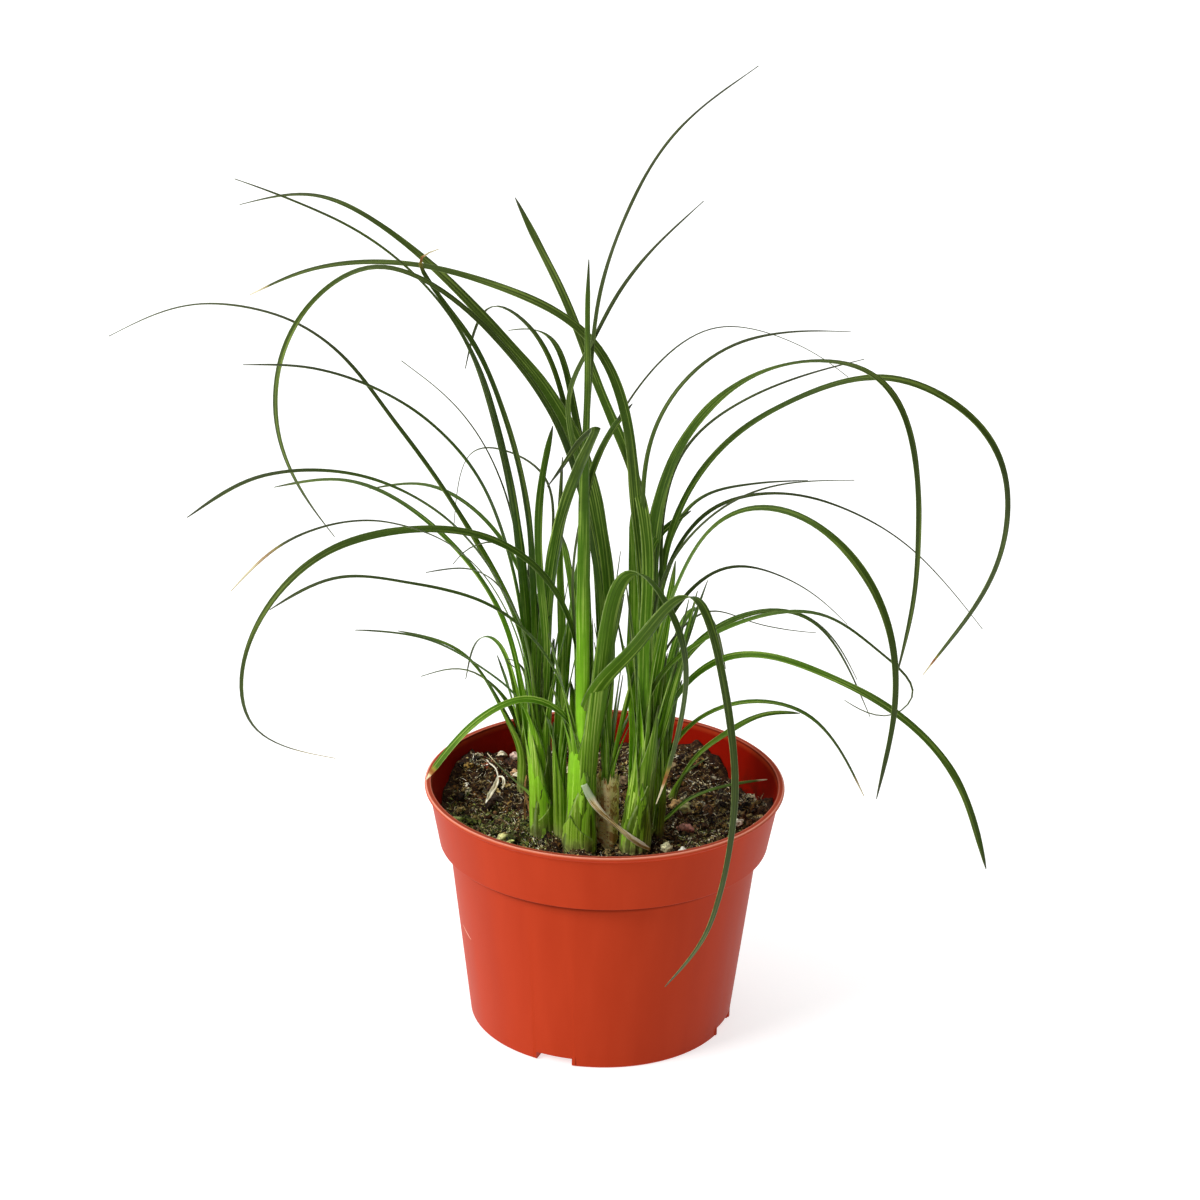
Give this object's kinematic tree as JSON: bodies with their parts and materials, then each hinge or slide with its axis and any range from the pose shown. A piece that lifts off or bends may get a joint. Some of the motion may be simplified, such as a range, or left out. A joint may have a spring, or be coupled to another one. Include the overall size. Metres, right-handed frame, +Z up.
{
  "type": "potted ponytail palm",
  "caption": "Round tapered plastic nursery pot with a broad rim band, filled with potting soil, holding a tuft of young grass-like shoots whose long narrow leaves arch over on all sides.",
  "frame": {"origin": "middle of the pot's flat bottom, on the surface it stands on", "axes": "+Z up; -Y toward the viewer of the picture, +X to the viewer's right"},
  "size_m": [0.3698, 0.2399, 0.4044],
  "materials": {
    "pot": "satin",
    "soil": "matte",
    "leaf_bright": "satin",
    "leaf_deep": "satin",
    "leaf_olive": "satin",
    "dead_leaf": "matte"
  },
  "bodies": {
    "root": {"pot": "pot", "soil": "soil", "shoot_left": "leaf_bright", "shoot_inner": "leaf_deep", "shoot_front": "leaf_bright", "shoot_middle": "leaf_deep", "shoot_right": "leaf_deep", "shoot_back": "leaf_deep", "shoot_side": "leaf_deep", "shoot_rear": "leaf_olive", "papery_sheath": "dead_leaf", "dry_leaf": "dead_leaf"}
  },
  "joints": []
}
